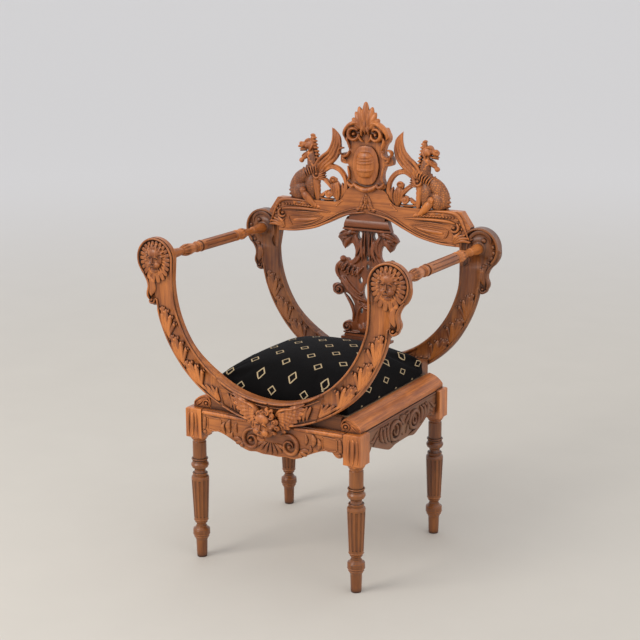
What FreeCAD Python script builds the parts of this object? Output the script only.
import FreeCAD, Part
import math
import os

# Sizes in millimetres. The origin lies on the floor under the middle of the chair, the front faces -Y.
# Names ending in share or shares hold hand-chosen parts of a named size.

# Fits
fit = 0.3
joint_slack = 0.2

# Legs
leg_spacing_x = 426.0
leg_spacing_y = 410.0
block_side = 44.0
block_height = 72.0
block_top = 380.0
block_bevel = 2.5
leg_radius = 21.4
flute_count = 12
flute_radius_low = 2.3
flute_radius_high = 3.1
flute_out = 0.9
flute_low_share = 0.335
flute_high_share = 0.640

# Aprons
apron_thick = 22.0
apron_recess = 3.0
apron_depth = 81.7
apron_strip = 10.5
apron_strip_fall = 2.5
tenon_thick = 10.0
tenon_length = 13.0
tenon_high = 34.0
tenon_top_gap = 12.0

# Side rolls and seat rails
roll_inner_x = 187.0
roll_step = 9.5
roll_high = 31.5
roll_mid_x_share = 0.52
roll_mid_z_share = 0.71
roll_rear_inset = 5.0
ledge_width = 11.0
ledge_high = 16.0
front_rail_depth = 13.0
front_rail_high = 31.0
rear_rail_depth = 34.2
rear_rail_high = 60.0

# Bows
bow_thick = 25.0
front_bow_proud = 5.4
rear_bow_gap = 10.5
bow_sunk = 8.0
bow_inner_radius = 258.5
bow_wide = 55.5
field_depth = 4.5
bead_width = 8.5
bead_slope = 3.5
edge_bead_width = 5.0
edge_bead_drop = 2.0
boss_out = 46.9
boss_up = 46.0
boss_radius = 50.3
rim_width = 5.5
rim_open_share = 0.66
rim_low_share = 0.44
mask_radius = 21.0
mask_rise = 9.0
ray_radius = 43.0
ray_rise = 2.0
joint_x_share = 0.5687
joint_z_share = 0.8027
joint_lean = 0.32

# Arm rails
arm_radius = 13.4
arm_groove_count = 8
arm_groove_radius = 1.5
arm_groove_low_share = 0.385
arm_groove_high_share = 0.680
spigot_radius = 7.0
spigot_length = 12.0

# Crest
crest_gap_boss = 22.4
crest_drop = 1.0
crest_rise = 63.0
crest_high = 86.0
crest_end_high = 50.0
crest_end_slant = 25.0
hump_length = 95.0
dowel_radius = 4.0
dowel_length = 28.0
dowel_inset = 24.0
dowel_low = 13.0
dowel_spacing = 18.0
shield_half = 72.5
shield_above_crest = 28.0
shield_height = 226.5
shield_proud = 8.5
shield_thick = 27.0
shield_boss_up = 72.0
shield_boss_half = 28.0
shield_boss_high = 37.0
shield_boss_rise = 8.0
shield_volute_x = 30.0
shield_volute_up = 148.0
shield_volute_radius = 17.0
shield_volute_rise = 5.0

# Dragons
dragon_sunk = 20.0
dragon_length = 206.0
dragon_proud = 4.5
dragon_thick = 25.5
haunch_radius = 23.0
haunch_proud = 4.0
shoulder_radius = 15.0

# Splat
splat_thick = 18.0
splat_half = 101.0
cap_half = 68.0
cap_below_crest = 13.0
cap_height = 32.0
cap_set_back = 1.0
cap_thick = 18.0
cap_fillet = 4.5
cap_inset = 10.0
saddle_half = 50.0
plate_half = 70.0
plate_top_half = 62.0
plate_proud = 3.5
plate_above_rail = 26.0
plate_height = 13.5
plate_step = 6.0
plate_inset = 4.0
shoe_half = 66.0
heel_half = 40.0

# Winged head
head_set_back = 0.9
head_low = 35.0
head_height = 65.0
head_radius = 31.0
wing_length = 110.0
wing_low = 45.0
wing_proud = 7.6

# Drop-in seat
seat_frame_member = 42.0
seat_frame_thick = 14.0
seat_deck_thick = 4.0
cushion_half_x = 186.2
cushion_height = 95.0
cushion_corner = 30.0
seat_play = 0.5

# Leg turning, as (height share, radius share) from the floor to the block
leg_shares = [
    (0.0, 0.55), (0.015, 0.59), (0.140, 0.64), (0.165, 0.80), (0.192, 0.93), (0.205, 0.96),
    (0.226, 0.95), (0.240, 0.80), (0.256, 0.56), (0.276, 0.54), (0.292, 0.66), (0.308, 0.80),
    (0.655, 1.00), (0.668, 0.95), (0.676, 0.80), (0.688, 0.84), (0.696, 0.70), (0.722, 0.57),
    (0.738, 0.66), (0.748, 0.92), (0.758, 0.99), (0.770, 0.99), (0.780, 0.90), (0.790, 0.77),
    (0.950, 0.77), (0.956, 0.69), (0.972, 0.71), (0.986, 0.95), (1.0, 0.97),
]
# Arm rail turning, as (length share, radius share) from the front boss to the rear boss
arm_shares = [
    (0.0, 0.93), (0.050, 0.93), (0.110, 0.78), (0.116, 0.84), (0.150, 0.78), (0.158, 0.58),
    (0.172, 0.60), (0.186, 0.74), (0.238, 0.97), (0.284, 0.88), (0.306, 0.60), (0.312, 0.86),
    (0.330, 0.97), (0.346, 0.92), (0.352, 0.72), (0.362, 0.98), (0.378, 1.0), (0.686, 1.0),
    (0.694, 0.70), (0.704, 0.96), (0.722, 0.95), (0.728, 0.74), (0.758, 0.97), (0.802, 0.82),
    (0.852, 0.57), (0.880, 0.57), (0.888, 0.72), (0.904, 0.72), (0.910, 0.62), (0.926, 0.70),
    (0.968, 0.95), (1.0, 0.97),
]
# Lower edges of the aprons, as (half length share, depth share)
front_low_shares = [
    (0.0, 0.998), (0.131, 1.0), (0.215, 0.972), (0.294, 0.992), (0.378, 0.955), (0.451, 0.881),
    (0.524, 0.789), (0.603, 0.706), (0.682, 0.630), (0.760, 0.584), (0.839, 0.561),
]
side_low_shares = [
    (0.0, 0.894), (0.109, 0.894), (0.208, 0.906), (0.285, 0.942), (0.361, 0.949), (0.449, 0.894),
    (0.547, 0.814), (0.646, 0.722), (0.733, 0.630), (0.839, 0.561),
]
rear_low_shares = [(0.0, 0.70), (0.25, 0.70), (0.50, 0.66), (0.839, 0.561)]
ear_shares = [(0.839, 0.561), (0.870, 0.649), (0.907, 0.716), (0.949, 0.728), (1.0, 0.650)]
# Outer side of a bow under its boss, from the boss centre in boss radii
ear_bow_shares = [
    (1.000, 0.000), (0.986, -0.398), (0.807, -0.755), (0.608, -0.954), (0.469, -1.233), (0.459, -1.372),
    (0.499, -1.511), (0.559, -1.730), (0.469, -1.968), (0.330, -2.177), (0.052, -2.197),
]
# Crest rail lower edge, as (half length share, rise share), and the hump in hump units
crest_low_shares = [
    (0.0, 1.0), (0.089, 0.976), (0.178, 0.881), (0.267, 0.722), (0.381, 0.484), (0.527, 0.222),
    (0.687, 0.063), (0.836, 0.0), (1.0, 0.032),
]
hump_shares = [
    (1.000, 0.000), (0.779, 0.063), (0.653, 0.221), (0.568, 0.347), (0.474, 0.411),
]
# Shield, as (half width share, height share)
shield_shares = [
    (0.000, 0.000), (0.221, 0.009), (0.400, 0.053), (0.524, 0.038), (0.634, 0.049), (0.731, 0.071),
    (0.690, 0.119), (0.628, 0.194), (0.690, 0.269), (0.709, 0.287), (0.717, 0.309), (0.855, 0.307),
    (0.993, 0.322), (1.021, 0.366), (0.966, 0.411), (0.883, 0.428), (0.786, 0.402), (0.703, 0.428),
    (0.697, 0.464), (0.731, 0.521), (0.828, 0.561), (0.890, 0.614), (0.828, 0.667), (0.703, 0.737),
    (0.524, 0.777), (0.566, 0.812), (0.510, 0.839), (0.428, 0.834), (0.372, 0.861), (0.428, 0.901),
    (0.345, 0.940), (0.262, 0.932), (0.179, 0.958), (0.124, 0.989), (0.000, 1.000),
]
# Right-hand dragon in dragon units: outline, then holes as centre and half sizes
dragon_shares = [
    (0.660, 0.010), (0.709, -0.002), (0.757, 0.015), (0.796, 0.044), (0.835, 0.078), (0.922, 0.100),
    (1.010, 0.092), (1.078, 0.160), (1.095, 0.248), (1.078, 0.325), (1.019, 0.383), (0.942, 0.437),
    (0.850, 0.466), (0.791, 0.490), (0.772, 0.534), (0.786, 0.578), (0.830, 0.587), (0.883, 0.558),
    (0.932, 0.573), (0.939, 0.617), (0.913, 0.655), (0.874, 0.650), (0.835, 0.670), (0.883, 0.684),
    (0.937, 0.694), (0.947, 0.743), (0.927, 0.786), (0.879, 0.782), (0.835, 0.820), (0.791, 0.879),
    (0.728, 0.898), (0.699, 0.850), (0.684, 0.782), (0.680, 0.694), (0.660, 0.602), (0.621, 0.592),
    (0.573, 0.655), (0.505, 0.752), (0.476, 0.869), (0.481, 0.937), (0.471, 0.995), (0.403, 0.961),
    (0.364, 0.898), (0.359, 0.811), (0.393, 0.733), (0.437, 0.646), (0.500, 0.558), (0.427, 0.558),
    (0.359, 0.515), (0.301, 0.442), (0.286, 0.345), (0.277, 0.248), (0.296, 0.150), (0.330, 0.063),
    (0.403, 0.010), (0.437, 0.044), (0.437, 0.097), (0.544, 0.102), (0.646, 0.097), (0.646, 0.053),
]
dragon_hole_shares = [(0.463, 0.395, 0.056, 0.066), (0.590, 0.260, 0.050, 0.070)]
haunch_shares = (0.965, 0.235)
shoulder_shares = (0.660, 0.430)
# Right half of the splat, as (half width share, height share), then its holes
splat_shares = [
    (0.653, 1.000), (0.693, 0.983), (0.723, 0.979), (0.792, 0.953), (0.851, 0.916), (0.782, 0.890),
    (0.733, 0.864), (0.703, 0.837), (0.644, 0.815), (0.584, 0.830), (0.535, 0.849), (0.475, 0.864),
    (0.426, 0.867), (0.366, 0.823), (0.356, 0.774), (0.376, 0.737), (0.446, 0.711), (0.485, 0.700),
    (0.525, 0.700), (0.604, 0.724), (0.693, 0.700), (0.713, 0.685), (0.713, 0.666), (0.832, 0.652),
    (0.881, 0.599), (0.871, 0.544), (0.782, 0.495), (0.792, 0.469), (0.851, 0.462), (0.980, 0.458),
    (1.000, 0.414), (0.960, 0.373), (0.851, 0.369), (0.772, 0.373), (0.713, 0.388), (0.564, 0.380),
    (0.455, 0.335), (0.376, 0.283), (0.356, 0.228), (0.356, 0.176), (0.386, 0.127), (0.426, 0.112),
    (0.475, 0.112), (0.594, 0.116), (0.663, 0.083), (0.683, 0.049), (0.634, 0.023), (0.594, 0.016),
    (0.584, 0.000),
]
splat_hole_shares = [
    (0.218, 0.950, 0.066, 0.036), (0.0, 0.735, 0.030, 0.026), (0.0, 0.655, 0.032, 0.028),
    (0.200, 0.520, 0.050, 0.032), (0.0, 0.410, 0.135, 0.090), (0.170, 0.235, 0.032, 0.034),
]
# Head turning, as (height share, radius share), and the right-hand wing in wing units
head_shares = [
    (0.0, 0.30), (0.05, 0.50), (0.16, 0.70), (0.34, 0.84), (0.50, 0.90), (0.60, 1.0),
    (0.78, 0.98), (0.92, 0.72), (1.0, 0.26),
]
wing_shares = [
    (0.000, 0.600), (0.182, 0.618), (0.345, 0.664), (0.455, 0.773), (0.591, 0.818), (0.800, 0.864),
    (0.982, 0.964), (0.945, 0.809), (0.873, 0.664), (0.818, 0.509), (0.691, 0.364), (0.600, 0.209),
    (0.455, 0.136), (0.327, 0.073), (0.218, 0.009), (0.109, -0.009), (0.000, -0.009),
]
# Cushion sections, as (height share, inset in corner radii)
cushion_shares = [
    (0.0, 0.10), (0.12, 0.0), (0.34, 0.0), (0.48, 0.08), (0.58, 0.36), (0.68, 1.0), (0.79, 2.0),
    (0.90, 3.3), (1.0, 4.8),
]


def at(x, y, z):
    return FreeCAD.Vector(x, y, z)


x_axis = at(1, 0, 0)
y_axis = at(0, 1, 0)
z_axis = at(0, 0, 1)
origin = at(0, 0, 0)
leg_x = leg_spacing_x / 2
leg_y = leg_spacing_y / 2
half_block = block_side / 2
turned_height = block_top - block_height
apron_face_x = leg_x + half_block - 3.5 * apron_recess
apron_face_y = leg_y + half_block - apron_recess
bow_front_y = -(leg_y + half_block + front_bow_proud)
rear_bow_y = leg_y + half_block + rear_bow_gap
roll_outer_x = apron_face_x - fit
roll_step_z = block_top + roll_step
roll_top_z = block_top + roll_high
roll_front_y = bow_front_y + bow_thick + seat_play
roll_rear_y = leg_y + half_block - roll_rear_inset
ledge_top = block_top + ledge_high
front_rail_top = block_top + front_rail_high
rear_rail_top = block_top + rear_rail_high
rear_rail_front_y = rear_bow_y - fit - rear_rail_depth
shield_front_y = rear_bow_y - shield_proud
shield_back_y = shield_front_y + shield_thick
dragon_front_y = rear_bow_y - dragon_proud
dragon_back_y = dragon_front_y + dragon_thick
splat_mid_y = rear_bow_y + bow_thick / 2
cap_front_y = rear_bow_y + cap_set_back
cap_back_y = cap_front_y + cap_thick
plate_front_y = rear_bow_y - plate_proud
plate_back_y = cap_back_y
head_centre_y = bow_front_y + head_set_back
wing_front_y = bow_front_y - wing_proud
seat_front_y = bow_front_y + bow_thick + fit + front_rail_depth + seat_play
seat_rear_y = rear_rail_front_y - seat_play
bow_outer_radius = bow_inner_radius + bow_wide
bow_centre_z = block_top + bow_outer_radius - bow_sunk
boss_x = bow_inner_radius + boss_out
boss_z = bow_centre_z + boss_up
joint_inner_x = joint_x_share * bow_inner_radius
joint_inner_z = bow_centre_z - joint_z_share * bow_inner_radius
crest_half = boss_x - crest_gap_boss
crest_low_z = boss_z - crest_drop
crest_top_z = crest_low_z + crest_high
crest_end_z = crest_low_z + crest_end_high
crest_end_top_x = crest_half - crest_end_slant
dowel_x = crest_half - dowel_inset
dowel_low_z = crest_low_z + dowel_low
dowel_high_z = dowel_low_z + dowel_spacing
shield_low_z = crest_top_z + shield_above_crest
shield_boss_z = shield_low_z + shield_boss_up
shield_volute_z = shield_low_z + shield_volute_up
dragon_base_z = crest_top_z - dragon_sunk
cap_high_z = crest_low_z + crest_rise - cap_below_crest
cap_low_z = cap_high_z - cap_height
splat_high_z = cap_low_z - fit
plate_low_z = rear_rail_top + plate_above_rail
splat_low_z = plate_low_z + plate_height + fit
head_low_z = block_top - head_low
wing_base_z = block_top - wing_low
bow_back_y = bow_front_y + bow_thick
rear_bow_back_y = rear_bow_y + bow_thick
arm_front_y = bow_back_y + fit
arm_rear_y = rear_bow_y - fit
arm_length = arm_rear_y - arm_front_y
above_base = block_top + fit


def spline(points):
    curve = Part.BSplineCurve()
    curve.interpolate(points)
    return curve.toShape()


def line(start, end):
    return Part.LineSegment(start, end).toShape()


def arcs(points):
    edges = []
    for index in range(0, len(points) - 2, 2):
        first, middle, last = points[index:index + 3]
        bend = (middle - first).cross(last - middle).Length
        if bend < fit * (last - first).Length:
            edges.append(line(first, last))
        else:
            edges.append(Part.Arc(first, middle, last).toShape())
    return edges


def slab(edges, depth):
    return Part.Face(Part.Wire(edges)).extrude(y_axis * depth)


def box(x0, x1, y0, y1, z0, z1):
    return Part.makeBox(x1 - x0, y1 - y0, z1 - z0, at(x0, y0, z0))


def mirrored(shape):
    return shape.mirror(origin, x_axis)


def joined(shapes):
    whole = shapes[0]
    for shape in shapes[1:]:
        whole = whole.fuse(shape)
    return whole.removeSplitter()


def turned(shares, length, radius):
    points = [at(0, 0, 0)]
    for along, out in shares:
        points.append(at(out * radius, 0, along * length))
    points.append(at(0, 0, length))
    points.append(points[0])
    return Part.Face(Part.makePolygon(points)).revolve(origin, z_axis, 360)


def oval(x, z, half_x, half_z, y, depth):
    if half_x >= half_z:
        curve = Part.Ellipse(at(x + half_x, y, z), at(x, y, z + half_z), at(x, y, z))
    else:
        curve = Part.Ellipse(at(x, y, z + half_z), at(x + half_x, y, z), at(x, y, z))
    return Part.Face(Part.Wire([curve.toShape()])).extrude(y_axis * depth)


def peg(x, z, radius, y0, y1):
    return Part.makeCylinder(radius, y1 - y0, at(x, y0, z), y_axis)


def button(x, z, radius, y0, y1, rounding):
    front = Part.makeCone(radius - rounding, radius, rounding, at(x, y0, z), y_axis)
    middle = peg(x, z, radius, y0 + rounding, y1 - rounding)
    back = Part.makeCone(radius, radius - rounding, rounding, at(x, y1 - rounding, z), y_axis)
    return joined([front, middle, back])


def save(shape, name):
    shape.exportStep("parts/" + name + ".step")


# Legs: one turning with a square block; flutes are tapered round cuts
def make_leg():
    leg = turned(leg_shares, turned_height, leg_radius)
    start = flute_low_share * turned_height
    length = (flute_high_share - flute_low_share) * turned_height
    radius_low = 0.815 * leg_radius + flute_out
    radius_high = 0.99 * leg_radius + flute_out
    lean = math.atan2(radius_high - radius_low, length)
    direction = at(math.sin(lean), 0, math.cos(lean))
    flute = Part.makeCone(flute_radius_low, flute_radius_high, length, at(radius_low, 0, start), direction)
    cuts = []
    for index in range(flute_count):
        cut = flute.copy()
        cut.rotate(origin, z_axis, 360 * index / flute_count)
        cuts.append(cut)
    leg = leg.cut(Part.makeCompound(cuts))
    block = box(-half_block, half_block, -half_block, half_block, turned_height, block_top)
    top_edges = [edge for edge in block.Edges if edge.BoundBox.ZMin > block_top - fit]
    block = block.makeChamfer(block_bevel, top_edges)
    return leg.fuse(block)


def tenon_box(half_length, reach, slack):
    half = tenon_thick / 2 + slack
    mid = apron_thick / 2
    high = block_top - tenon_top_gap + slack
    low = high - tenon_high - 2 * slack
    return box(-half_length - reach, half_length + reach, mid - half, mid + half, low, high)


# Aprons: made along X with the shown face at y = 0, then turned into place
def make_apron(half_length, low_shares):
    right = []
    for share_x, share_z in low_shares:
        right.append(at(share_x * half_length, 0, block_top - share_z * apron_depth))
    ear = []
    for share_x, share_z in ear_shares:
        ear.append(at(share_x * half_length, 0, block_top - share_z * apron_depth))
    left = [at(-point.x, 0, point.z) for point in right[:0:-1]]
    left_ear = [at(-point.x, 0, point.z) for point in ear[::-1]]
    corner = at(half_length, 0, block_top)
    other = at(-half_length, 0, block_top)
    edges = [line(corner, ear[-1]), spline(ear[::-1]), spline(right[::-1] + [at(-p.x, 0, p.z) for p in right[1:]])]
    edges += [spline(left_ear[::-1]), line(left_ear[0], other), line(other, corner)]
    board = slab(edges, apron_thick)
    wedge_points = [
        at(-half_length, 0, block_top - apron_strip), at(-half_length, apron_strip_fall, block_top),
        at(-half_length, 0, block_top), at(-half_length, 0, block_top - apron_strip),
    ]
    wedge = Part.Face(Part.makePolygon(wedge_points)).extrude(x_axis * (2 * half_length))
    board = board.cut(wedge)
    return board.fuse(tenon_box(half_length, tenon_length, 0)).removeSplitter()


def place(shape, angle, x, y):
    shape = shape.copy()
    shape.rotate(origin, z_axis, angle)
    shape.translate(at(x, y, 0))
    return shape


span_x = leg_x - half_block - fit
span_y = leg_y - half_block - fit
apron_x = make_apron(span_x, front_low_shares)
apron_back = make_apron(span_x, rear_low_shares)
apron_y = make_apron(span_y, side_low_shares)
aprons = {
    "apron_front": place(apron_x, 0, 0, -apron_face_y),
    "apron_rear": place(apron_back, 180, 0, apron_face_y),
    "apron_right": place(apron_y, 90, apron_face_x, 0),
    "apron_left": place(apron_y, -90, -apron_face_x, 0),
}
mortise_x = tenon_box(span_x, tenon_length + fit, joint_slack)
mortise_y = tenon_box(span_y, tenon_length + fit, joint_slack)
mortises = joined([
    place(mortise_x, 0, 0, -apron_face_y), place(mortise_x, 180, 0, apron_face_y),
    place(mortise_y, 90, apron_face_x, 0), place(mortise_y, -90, -apron_face_x, 0),
])

# Side rolls: a rounded top over a square edge on the apron, with a ledge for the drop-in seat
def make_roll():
    arc_inner = at(roll_inner_x, 0, roll_top_z)
    arc_mid = at(roll_inner_x + roll_mid_x_share * (roll_outer_x - roll_inner_x), 0,
                 roll_step_z + roll_mid_z_share * (roll_top_z - roll_step_z))
    arc_outer = at(roll_outer_x, 0, roll_step_z)
    ledge_x = roll_inner_x - ledge_width
    points = [
        arc_outer, at(roll_outer_x, 0, above_base), at(ledge_x, 0, above_base), at(ledge_x, 0, ledge_top),
        at(roll_inner_x, 0, ledge_top), arc_inner,
    ]
    edges = [line(points[i], points[i + 1]) for i in range(len(points) - 1)]
    edges.append(Part.Arc(arc_inner, arc_mid, arc_outer).toShape())
    roll = slab(edges, roll_rear_y - roll_front_y)
    roll.translate(at(0, roll_front_y, 0))
    return roll


ledge_x = roll_inner_x - ledge_width - fit
front_rail_y = bow_back_y + fit
front_rail = box(-ledge_x, ledge_x, front_rail_y, front_rail_y + front_rail_depth, above_base, front_rail_top)
front_ledge = box(-ledge_x, ledge_x, front_rail_y, front_rail_y + front_rail_depth + ledge_width, above_base, ledge_top)
rear_rail_back_y = rear_bow_y - fit
rear_rail = box(-ledge_x, ledge_x, rear_rail_front_y, rear_rail_back_y, above_base, rear_rail_top)
rear_ledge = box(-ledge_x, ledge_x, rear_rail_front_y - ledge_width, rear_rail_back_y, above_base, ledge_top)

# Bows: a half ring turned from one section, and a head with boss and ear on each arm
def half_ring():
    inner = bow_inner_radius
    outer = bow_outer_radius
    section = [
        (inner, bead_slope), (inner + bead_slope, 0), (inner + bead_width - bead_slope, 0),
        (inner + bead_width, field_depth), (outer - edge_bead_width, field_depth),
        (outer - edge_bead_width, edge_bead_drop), (outer - edge_bead_drop, edge_bead_drop),
        (outer, 2 * edge_bead_drop), (outer, bow_thick), (inner, bow_thick), (inner, bead_slope),
    ]
    points = [at(radius, y, bow_centre_z) for radius, y in section]
    return Part.Face(Part.makePolygon(points)).revolve(at(0, 0, bow_centre_z), y_axis, 180)


def head_face(y):
    side = [at(boss_x + sx * boss_radius, y, boss_z + sz * boss_radius) for sx, sz in ear_bow_shares]
    inner_foot = at(bow_inner_radius, y, bow_centre_z)
    inner_top = at(boss_x - boss_radius, y, boss_z)
    top = at(boss_x, y, boss_z + boss_radius)
    ear_foot = side[-1]
    drop = bow_centre_z - ear_foot.z
    low_inner = at(bow_inner_radius + bead_width, y, bow_centre_z - bead_slope)
    edges = [
        line(inner_foot, inner_top), Part.Arc(inner_top, top, side[0]).toShape(), *arcs(side),
        line(ear_foot, at(ear_foot.x - drop / 2, y, ear_foot.z + drop / 2)),
        line(at(ear_foot.x - drop / 2, y, ear_foot.z + drop / 2), low_inner), line(low_inner, inner_foot),
    ]
    return edges


def make_head():
    plate = slab(head_face(field_depth), bow_thick - field_depth)
    rim_full = slab(head_face(0), field_depth + fit)
    rim = peg(boss_x, boss_z, boss_radius, 0, field_depth + fit)
    rim = rim.fuse(box(bow_inner_radius - bead_slope, bow_inner_radius + bead_width,
                       0, field_depth + fit, bow_centre_z, boss_z))
    rim = rim.common(rim_full)
    rim = rim.cut(peg(boss_x, boss_z, boss_radius - rim_width, -fit, field_depth + 2 * fit))
    rim = rim.cut(box(bow_inner_radius + bead_width, boss_x + rim_open_share * boss_radius, -fit,
                      field_depth + 2 * fit, boss_z - 2 * boss_radius, boss_z - rim_low_share * boss_radius))
    return plate.fuse(rim)


def mask():
    sphere_radius = (mask_radius * mask_radius + mask_rise * mask_rise) / (2 * mask_rise)
    sphere_y = field_depth + sphere_radius - mask_rise
    dome = Part.makeSphere(sphere_radius, at(boss_x, sphere_y, boss_z))
    dome = dome.common(box(boss_x - boss_radius, boss_x + boss_radius, -mask_rise, field_depth + fit,
                           boss_z - boss_radius, boss_z + boss_radius))
    rays = peg(boss_x, boss_z, ray_radius, field_depth - ray_rise, field_depth + fit)
    return dome.fuse(rays)


def joint_side(gap):
    low = bow_centre_z - bow_outer_radius - bead_width
    high = bow_centre_z
    low_x = joint_inner_x + joint_lean * (low - joint_inner_z) + gap
    high_x = joint_inner_x + joint_lean * (high - joint_inner_z) + gap
    far = bow_outer_radius + boss_radius
    y = -boss_radius
    corners = [at(low_x, y, low), at(far, y, low), at(far, y, high), at(high_x, y, high), at(low_x, y, low)]
    return Part.Face(Part.makePolygon(corners)).extrude(y_axis * (3 * boss_radius))


ring = half_ring()
arm = ring.common(joint_side(fit / 2)).fuse(make_head())
bore = peg(boss_x, boss_z, spigot_radius + joint_slack, 0, spigot_length + fit)
front_arm = arm.fuse(mask())
front_bore = bore.copy()
front_bore.translate(at(0, bow_thick - spigot_length - fit, 0))
front_arm = front_arm.cut(front_bore).removeSplitter()
rear_bore = peg(boss_x, boss_z, spigot_radius + joint_slack, -fit, spigot_length + fit + field_depth)
hub = peg(boss_x, boss_z, 1.3 * arm_radius, 0, field_depth + fit)
rear_arm = arm.fuse(hub).cut(rear_bore).removeSplitter()
centre = ring.cut(joint_side(-fit / 2)).cut(mirrored(joint_side(-fit / 2))).removeSplitter()

front_arm.translate(at(0, bow_front_y, 0))
rear_arm.translate(at(0, rear_bow_y, 0))
front_centre = centre.copy()
front_centre.translate(at(0, bow_front_y, 0))
far_x = bow_outer_radius
front_centre = front_centre.cut(box(-far_x, far_x, bow_front_y - bow_thick, 0, 0, above_base))
rear_centre = centre.copy()
rear_centre.translate(at(0, rear_bow_y, 0))

# Arm rails: turned along Y with a spigot at each end and shallow grooves round the middle
def make_arm_rail():
    rail = turned(arm_shares, arm_length, arm_radius)
    low = arm_groove_low_share * arm_length
    length = (arm_groove_high_share - arm_groove_low_share) * arm_length
    groove = Part.makeCylinder(arm_groove_radius, length, at(arm_radius, 0, low), z_axis)
    cuts = []
    for index in range(arm_groove_count):
        cut = groove.copy()
        cut.rotate(origin, z_axis, 360 * index / arm_groove_count)
        cuts.append(cut)
    rail = rail.cut(Part.makeCompound(cuts))
    spigot = Part.makeCylinder(spigot_radius, arm_length + 2 * spigot_length, at(0, 0, -spigot_length), z_axis)
    rail = rail.fuse(spigot)
    rail.rotate(origin, x_axis, -90)
    rail.translate(at(boss_x, arm_front_y, boss_z))
    return rail


# Crest rail: serpentine lower edge, slanted ends cut round the bosses, hump under the shield
def crest_edges(y):
    right = [at(sx * crest_half, y, crest_low_z + sz * crest_rise) for sx, sz in crest_low_shares]
    left = [at(-point.x, y, point.z) for point in right]
    hump = [at(sx * hump_length, y, crest_top_z + sz * hump_length) for sx, sz in hump_shares]
    left_hump = [at(-point.x, y, point.z) for point in hump]
    end = at(crest_half, y, crest_end_z)
    shoulder = at(crest_end_top_x, y, crest_top_z)
    left_end = at(-crest_half, y, crest_end_z)
    left_shoulder = at(-crest_end_top_x, y, crest_top_z)
    return [
        spline(left[:0:-1] + right), line(right[-1], end), line(end, shoulder), line(shoulder, hump[0]),
        *arcs(hump), line(hump[-1], left_hump[-1]), *arcs(left_hump[::-1]), line(left_hump[0], left_shoulder),
        line(left_shoulder, left_end), line(left_end, left[-1]),
    ]


crest_board = slab(crest_edges(rear_bow_y), bow_thick)
boss_room = peg(boss_x, boss_z, boss_radius + fit, rear_bow_y - fit, rear_bow_back_y + fit)
crest_board = crest_board.cut(boss_room).cut(mirrored(boss_room))
dowel_y = rear_bow_y + bow_thick / 2 + field_depth / 2


def dowels(radius, length):
    pegs = []
    for z in (dowel_low_z, dowel_high_z):
        pegs.append(Part.makeCylinder(radius, length, at(dowel_x - length / 2, dowel_y, z), x_axis))
    return Part.makeCompound(pegs)


right_dowels = dowels(dowel_radius, dowel_length)
dowel_holes = dowels(dowel_radius + joint_slack, dowel_length + 2 * fit)
crest_board = crest_board.cut(dowel_holes).cut(mirrored(dowel_holes))
rear_arm = rear_arm.cut(dowel_holes)

# Room kept clear round the crest rail for the carvings that stand on it
crest_room = slab(crest_edges(rear_bow_y - fit), bow_thick + 2 * fit)
raised_room = crest_room.copy()
raised_room.translate(at(0, 0, fit))
right_room = crest_room.copy()
right_room.translate(at(fit, 0, 0))
left_room = crest_room.copy()
left_room.translate(at(-fit, 0, 0))

# Shield with its oval boss and the two volutes at the top
def make_shield():
    right = [at(sx * shield_half, shield_front_y, shield_low_z + sz * shield_height) for sx, sz in shield_shares]
    left = [at(-point.x, point.y, point.z) for point in right[1:-1]]
    depth = shield_back_y - shield_front_y
    shield = slab(arcs(right + left[::-1] + right[:1]), depth)
    disc = oval(0, shield_boss_z, shield_boss_half, shield_boss_high, shield_front_y - shield_boss_rise / 2, depth / 2)
    core = oval(0, shield_boss_z, shield_boss_half - shield_boss_rise, shield_boss_high - shield_boss_rise,
                shield_front_y - shield_boss_rise, depth / 2)
    parts = [shield, disc, core]
    for side in (-1, 1):
        parts.append(peg(side * shield_volute_x, shield_volute_z, shield_volute_radius,
                         shield_front_y - shield_volute_rise, shield_back_y - shield_volute_rise))
    return joined(parts)


# Dragons: pierced silhouette with a haunch and a shoulder standing proud
def make_dragon():
    y = dragon_front_y
    points = [at(sx * dragon_length, y, dragon_base_z + sz * dragon_length) for sx, sz in dragon_shares]
    depth = dragon_back_y - dragon_front_y
    dragon = slab(arcs(points + points[:1]), depth)
    for sx, sz, half_x, half_z in dragon_hole_shares:
        dragon = dragon.cut(oval(sx * dragon_length, dragon_base_z + sz * dragon_length, half_x * dragon_length,
                                 half_z * dragon_length, y - depth, 3 * depth))
    haunch = button(haunch_shares[0] * dragon_length, dragon_base_z + haunch_shares[1] * dragon_length, haunch_radius,
                    y - haunch_proud, dragon_back_y + haunch_proud, 1.5 * haunch_proud)
    shoulder = button(shoulder_shares[0] * dragon_length, dragon_base_z + shoulder_shares[1] * dragon_length,
                      shoulder_radius, y - haunch_proud, dragon_back_y + haunch_proud, 1.5 * haunch_proud)
    return joined([dragon, haunch, shoulder])


shield = make_shield().cut(raised_room).cut(right_room).cut(left_room)
dragon = make_dragon().cut(raised_room).cut(right_room).cut(left_room)

# Splat, its roll cap and its base plate
def make_splat():
    y = splat_mid_y - splat_thick / 2
    height = splat_high_z - splat_low_z
    right = [at(sx * splat_half, y, splat_low_z + sz * height) for sx, sz in splat_shares]
    left = [at(-point.x, y, point.z) for point in right]
    edges = arcs(right) + [line(right[-1], left[-1])] + arcs(left[::-1]) + [line(left[0], right[0])]
    board = slab(edges, splat_thick)
    for sx, sz, half_x, half_z in splat_hole_shares:
        for side in (-1, 1):
            board = board.cut(oval(side * sx * splat_half, splat_low_z + sz * height, half_x * splat_half,
                                   half_z * height, y - splat_thick, 3 * splat_thick))
    return board


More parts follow.
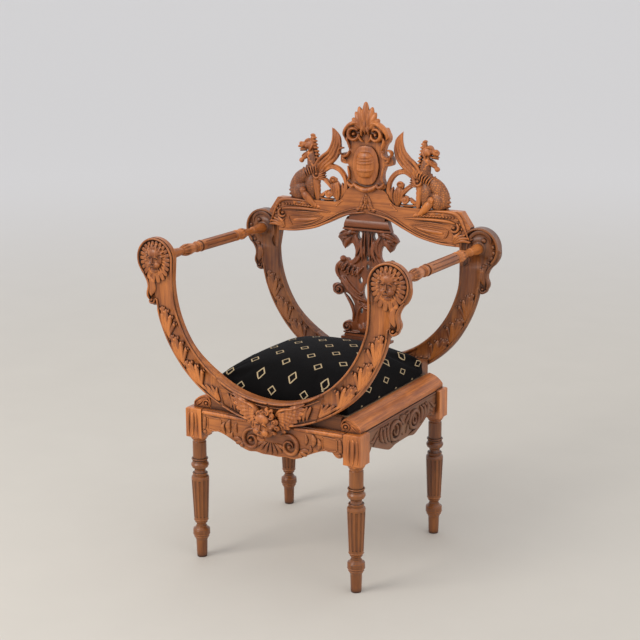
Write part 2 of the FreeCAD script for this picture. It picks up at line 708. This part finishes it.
def make_cap():
    height = cap_high_z - cap_low_z
    mid_z = cap_low_z + cap_fillet + (height - cap_fillet) / 2
    front = at(0, cap_front_y, mid_z)
    low = at(0, cap_front_y + cap_fillet, cap_low_z + cap_fillet)
    high = at(0, cap_front_y + 2 * cap_fillet, cap_high_z)
    points = [
        high, at(0, cap_back_y, cap_high_z), at(0, cap_back_y, cap_low_z), at(0, cap_front_y, cap_low_z),
        at(0, cap_front_y, cap_low_z + cap_fillet), low,
    ]
    edges = [line(points[i], points[i + 1]) for i in range(len(points) - 1)]
    edges.append(Part.Arc(low, front, high).toShape())
    roll = Part.Face(Part.Wire(edges)).extrude(x_axis * (2 * cap_half))
    roll.translate(at(-cap_half, 0, 0))
    lean = [
        at(-cap_half, 0, cap_low_z), at(cap_half, 0, cap_low_z), at(cap_half - cap_inset, 0, cap_high_z),
        at(cap_inset - cap_half, 0, cap_high_z), at(-cap_half, 0, cap_low_z),
    ]
    roll = roll.common(Part.Face(Part.makePolygon(lean)).extrude(y_axis * (2 * cap_back_y)))
    y0 = splat_mid_y - splat_thick / 2
    saddle = box(-saddle_half, saddle_half, y0, y0 + splat_thick, cap_low_z + height / 2, crest_low_z + crest_rise)
    lowered = crest_room.copy()
    lowered.translate(at(0, 0, -fit))
    return roll.fuse(saddle).cut(crest_room).cut(lowered).removeSplitter()


def make_plate():
    plate = box(-plate_half, plate_half, plate_front_y, plate_back_y, plate_low_z, plate_low_z + plate_step)
    top = box(-plate_top_half, plate_top_half, plate_front_y + plate_inset, plate_back_y, plate_low_z, splat_low_z - fit)
    shoe = box(-shoe_half, shoe_half, rear_rail_front_y + fit, rear_rail_back_y, rear_rail_top + fit, plate_low_z)
    heel_low_z = bow_centre_z - math.sqrt(bow_inner_radius ** 2 - heel_half ** 2) + fit
    heel = box(-heel_half, heel_half, rear_rail_back_y + fit, plate_back_y, heel_low_z, plate_low_z)
    return joined([plate, top, shoe, heel])


# Winged head: a turned head and two wings, fitted against bow and apron
def make_winged_head():
    head = turned(head_shares, head_height, head_radius)
    head.translate(at(0, head_centre_y, head_low_z))
    right = [at(sx * wing_length, wing_front_y, wing_base_z + sz * wing_length) for sx, sz in wing_shares]
    left = [at(-point.x, point.y, point.z) for point in right[1:-1]]
    depth = -apron_face_y - fit - wing_front_y
    wings = slab(arcs(right + left[::-1] + right[:1]), depth)
    whole = joined([head, wings])
    whole = whole.cut(box(-far_x, far_x, -apron_face_y - fit, 0, 0, shield_low_z))
    whole = whole.cut(peg(0, bow_centre_z, bow_outer_radius + fit, bow_front_y - fit, 0))
    return whole


# Drop-in seat: frame, deck and domed cushion
frame_half_x = roll_inner_x - fit
frame_low_z = ledge_top + fit
frame_high_z = frame_low_z + seat_frame_thick - seat_deck_thick
seat_frame = box(-frame_half_x, frame_half_x, seat_front_y, seat_rear_y, frame_low_z, frame_high_z)
seat_frame = seat_frame.cut(box(seat_frame_member - frame_half_x, frame_half_x - seat_frame_member,
                                seat_front_y + seat_frame_member, seat_rear_y - seat_frame_member,
                                frame_low_z, frame_high_z))
deck_high_z = frame_high_z + seat_deck_thick
seat_deck = box(-frame_half_x, frame_half_x, seat_front_y, seat_rear_y, frame_high_z, deck_high_z)
cushion_low_z = deck_high_z + fit


def cushion_wire(inset, z):
    half_x = cushion_half_x - inset
    front = seat_front_y + inset
    rear = seat_rear_y - inset
    corner = cushion_corner
    turn = corner * (1 - math.sqrt(0.5))
    edges = []
    for sign_x, y_corner, sign_y in ((1, front, 1), (1, rear, -1), (-1, rear, -1), (-1, front, 1)):
        near_side = at(sign_x * half_x, y_corner + sign_y * corner, z)
        middle = at(sign_x * (half_x - turn), y_corner + sign_y * turn, z)
        near_end = at(sign_x * (half_x - corner), y_corner, z)
        going_up = sign_x * sign_y > 0
        edges.append([near_end, middle, near_side] if going_up else [near_side, middle, near_end])
    result = []
    for index in range(4):
        first, middle, last = edges[index]
        result.append(Part.Arc(first, middle, last).toShape())
        result.append(line(last, edges[(index + 1) % 4][0]))
    return Part.Wire(result)


cushion_wires = [cushion_wire(inset * cushion_corner, cushion_low_z + share * cushion_height)
                 for share, inset in cushion_shares]
seat_cushion = Part.makeLoft(cushion_wires, True, True)

# Write one file per piece
os.makedirs("parts", exist_ok=True)
leg = make_leg()
roll = make_roll()
arm_rail = make_arm_rail()
for side, sign_x in (("left", -1), ("right", 1)):
    for end, sign_y in (("front", -1), ("rear", 1)):
        placed = leg.copy()
        placed.translate(at(sign_x * leg_x, sign_y * leg_y, 0))
        save(placed.cut(mortises), "leg_" + end + "_" + side)
for name, shape in aprons.items():
    save(shape, name)
save(front_rail.fuse(front_ledge).removeSplitter(), "seat_rail_front")
save(rear_rail.fuse(rear_ledge).removeSplitter(), "seat_rail_rear")
for name, shape in (
    ("seat_roll", roll), ("bow_front_arm", front_arm), ("bow_rear_arm", rear_arm), ("arm_rail", arm_rail),
    ("dragon", dragon),
):
    save(shape, name + "_right")
    save(mirrored(shape), name + "_left")
save(front_centre, "bow_front_centre")
save(rear_centre, "bow_rear_centre")
save(crest_board, "crest_rail")
save(Part.makeCompound(right_dowels.Solids + mirrored(right_dowels).Solids), "crest_dowels")
save(shield, "shield")
save(make_splat(), "splat")
save(make_cap(), "splat_cap")
save(make_plate(), "splat_base")
save(make_winged_head(), "winged_head")
save(seat_frame, "seat_frame")
save(seat_deck, "seat_deck")
save(seat_cushion, "seat_cushion")
